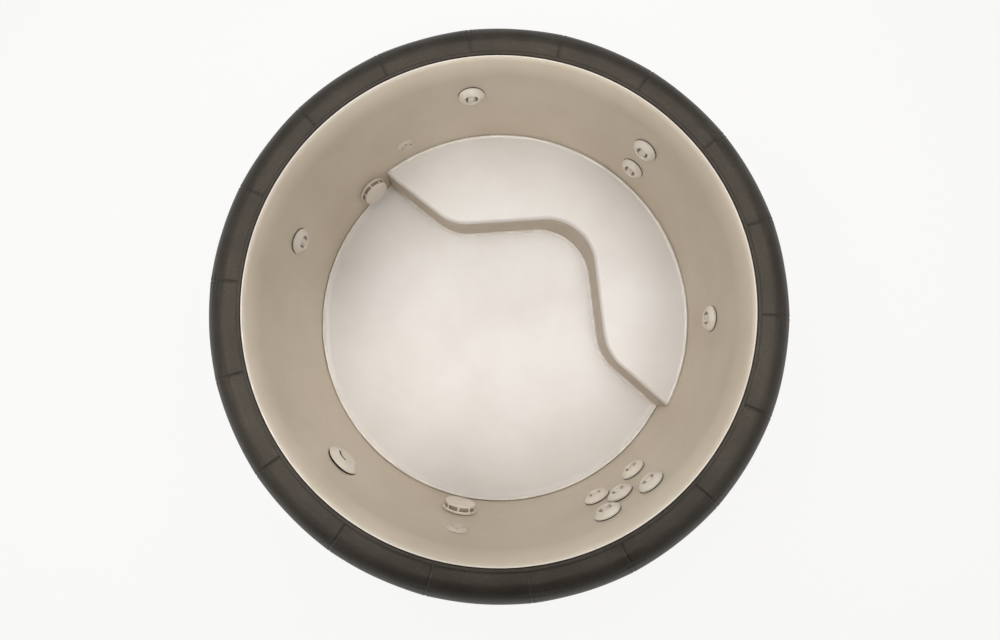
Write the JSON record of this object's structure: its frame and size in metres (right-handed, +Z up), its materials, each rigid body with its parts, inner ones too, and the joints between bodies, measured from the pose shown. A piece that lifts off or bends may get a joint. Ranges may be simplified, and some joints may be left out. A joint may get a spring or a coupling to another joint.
{
  "type": "soft-sided hot tub",
  "caption": "Round soft-sided hot tub with a padded dark rim, cream liner, raised S-shaped bench, swivelling jets, suction strainers and ports for a pump unit.",
  "frame": {"origin": "middle of the ground sheet's underside, on the ground", "axes": "+Z up; +X to the right and +Y to the top of the picture, which looks down into the tub"},
  "size_m": [1.9613, 1.9614, 0.69],
  "materials": {
    "ground_sheet": "matt",
    "foam": "open-cell foam",
    "cover_vinyl": "grained vinyl, satin",
    "binding": "smooth vinyl tape, satin",
    "liner_vinyl": "satin vinyl",
    "seal": "matt",
    "pipe": "moulded",
    "hose": "smooth",
    "fitting": "satin moulding",
    "nozzle": "satin moulding",
    "coupling": "moulded",
    "handle": "moulded"
  },
  "bodies": {
    "tub": {"air_coupling": "coupling", "air_hoses": "hose", "air_ring": "pipe", "base_foam": "foam", "bench_foam": "foam", "bench_skin": "liner_vinyl", "drain_valve_body": "coupling", "fitting_gaskets": "seal", "fitting_nuts": "pipe", "ground_sheet": "ground_sheet", "inner_foam_blocks": "foam", "jet_bodies": "pipe", "jet_gaskets": "seal", "jet_nuts": "pipe", "liner_floor": "liner_vinyl", "liner_wall": "liner_vinyl", "outer_foam_blocks": "foam", "outlet_bodies": "pipe", "outlet_caps": "fitting", "pressure_coupling": "coupling", "return_body": "pipe", "rim_binding": "binding", "rim_cover": "cover_vinyl", "rim_cushions": "foam", "rim_welt": "binding", "side_cover": "cover_vinyl", "side_hem": "cover_vinyl", "strainer_bodies": "pipe", "strainer_covers": "fitting", "suction_coupling": "coupling", "suction_line": "pipe", "water_hoses": "hose", "water_ring": "pipe"},
    "jet_face_1": {"jet_face_1": "fitting"},
    "jet_nozzle_1": {"jet_nozzle_1": "nozzle"},
    "jet_face_2": {"jet_face_2": "fitting"},
    "jet_nozzle_2": {"jet_nozzle_2": "nozzle"},
    "jet_face_3": {"jet_face_3": "fitting"},
    "jet_nozzle_3": {"jet_nozzle_3": "nozzle"},
    "jet_face_4": {"jet_face_4": "fitting"},
    "jet_nozzle_4": {"jet_nozzle_4": "nozzle"},
    "jet_face_5": {"jet_face_5": "fitting"},
    "jet_nozzle_5": {"jet_nozzle_5": "nozzle"},
    "jet_face_6": {"jet_face_6": "fitting"},
    "jet_nozzle_6": {"jet_nozzle_6": "nozzle"},
    "jet_face_7": {"jet_face_7": "fitting"},
    "jet_nozzle_7": {"jet_nozzle_7": "nozzle"},
    "jet_face_8": {"jet_face_8": "fitting"},
    "jet_nozzle_8": {"jet_nozzle_8": "nozzle"},
    "jet_face_9": {"jet_face_9": "fitting"},
    "jet_nozzle_9": {"jet_nozzle_9": "nozzle"},
    "jet_face_10": {"jet_face_10": "fitting"},
    "jet_nozzle_10": {"jet_nozzle_10": "nozzle"},
    "return_hood": {"return_hood": "fitting"},
    "drain_handle": {"drain_handle": "handle"}
  },
  "joints": [
    {"name": "jet_face_1_twist", "type": "hinge", "parent": "tub", "child": "jet_face_1", "pos_m": [-0.10368, 0.79829, 0.505], "axis": [0.1288, -0.9917, 0], "range_deg": [0, 90]},
    {"name": "jet_nozzle_1_swing", "type": "hinge", "parent": "jet_face_1", "child": "jet_nozzle_1", "pos_m": [-0.10233, 0.78788, 0.505], "axis": [0, 0, 1], "range_deg": [-15, 15]},
    {"name": "jet_face_2_twist", "type": "hinge", "parent": "tub", "child": "jet_face_2", "pos_m": [0.55004, 0.58778, 0.493], "axis": [-0.6833, -0.7302, 0], "range_deg": [0, 90]},
    {"name": "jet_nozzle_2_swing", "type": "hinge", "parent": "jet_face_2", "child": "jet_nozzle_2", "pos_m": [0.54286, 0.58011, 0.493], "axis": [0, 0, 1], "range_deg": [-15, 15]},
    {"name": "jet_face_3_twist", "type": "hinge", "parent": "tub", "child": "jet_face_3", "pos_m": [0.54798, 0.5897, 0.324], "axis": [-0.6807, -0.7325, 0], "range_deg": [0, 90]},
    {"name": "jet_nozzle_3_swing", "type": "hinge", "parent": "jet_face_3", "child": "jet_nozzle_3", "pos_m": [0.54083, 0.582, 0.324], "axis": [0, 0, 1], "range_deg": [-15, 15]},
    {"name": "jet_face_4_twist", "type": "hinge", "parent": "tub", "child": "jet_face_4", "pos_m": [0.80404, -0.03932, 0.409], "axis": [-0.9988, 0.0488, 0], "range_deg": [0, 90]},
    {"name": "jet_nozzle_4_swing", "type": "hinge", "parent": "jet_face_4", "child": "jet_nozzle_4", "pos_m": [0.79355, -0.03881, 0.409], "axis": [0, 0, 1], "range_deg": [-15, 15]},
    {"name": "jet_face_5_twist", "type": "hinge", "parent": "tub", "child": "jet_face_5", "pos_m": [-0.7625, 0.25809, 0.43], "axis": [0.9472, -0.3206, 0], "range_deg": [0, 90]},
    {"name": "jet_nozzle_5_swing", "type": "hinge", "parent": "jet_face_5", "child": "jet_nozzle_5", "pos_m": [-0.75256, 0.25473, 0.43], "axis": [0, 0, 1], "range_deg": [-15, 15]},
    {"name": "jet_face_6_twist", "type": "hinge", "parent": "tub", "child": "jet_face_6", "pos_m": [0.51959, -0.61486, 0.544], "axis": [-0.6455, 0.7638, 0], "range_deg": [0, 90]},
    {"name": "jet_nozzle_6_swing", "type": "hinge", "parent": "jet_face_6", "child": "jet_nozzle_6", "pos_m": [0.51282, -0.60684, 0.544], "axis": [0, 0, 1], "range_deg": [-15, 15]},
    {"name": "jet_face_7_twist", "type": "hinge", "parent": "tub", "child": "jet_face_7", "pos_m": [0.51637, -0.61757, 0.335], "axis": [-0.6414, 0.7672, 0], "range_deg": [0, 90]},
    {"name": "jet_nozzle_7_swing", "type": "hinge", "parent": "jet_face_7", "child": "jet_nozzle_7", "pos_m": [0.50963, -0.60951, 0.335], "axis": [0, 0, 1], "range_deg": [-15, 15]},
    {"name": "jet_face_8_twist", "type": "hinge", "parent": "tub", "child": "jet_face_8", "pos_m": [0.43726, -0.67589, 0.447], "axis": [-0.5432, 0.8396, 0], "range_deg": [0, 90]},
    {"name": "jet_nozzle_8_swing", "type": "hinge", "parent": "jet_face_8", "child": "jet_nozzle_8", "pos_m": [0.43155, -0.66708, 0.447], "axis": [0, 0, 1], "range_deg": [-15, 15]},
    {"name": "jet_face_9_twist", "type": "hinge", "parent": "tub", "child": "jet_face_9", "pos_m": [0.37171, -0.71404, 0.35], "axis": [-0.4617, 0.887, 0], "range_deg": [0, 90]},
    {"name": "jet_nozzle_9_swing", "type": "hinge", "parent": "jet_face_9", "child": "jet_nozzle_9", "pos_m": [0.36686, -0.70473, 0.35], "axis": [0, 0, 1], "range_deg": [-15, 15]},
    {"name": "jet_face_10_twist", "type": "hinge", "parent": "tub", "child": "jet_face_10", "pos_m": [0.37046, -0.71469, 0.54], "axis": [-0.4602, 0.8878, 0], "range_deg": [0, 90]},
    {"name": "jet_nozzle_10_swing", "type": "hinge", "parent": "jet_face_10", "child": "jet_nozzle_10", "pos_m": [0.36563, -0.70537, 0.54], "axis": [0, 0, 1], "range_deg": [-15, 15]},
    {"name": "return_hood_swivel", "type": "hinge", "parent": "tub", "child": "return_hood", "pos_m": [-0.57219, -0.56623, 0.431], "axis": [0.7108, 0.7034, 0], "range_deg": [-90, 90]},
    {"name": "drain_handle_turn", "type": "hinge", "parent": "tub", "child": "drain_handle", "pos_m": [-0.87494, -0.50515, 0.132], "axis": [0, 0, -1], "range_deg": [0, 90]}
  ]
}
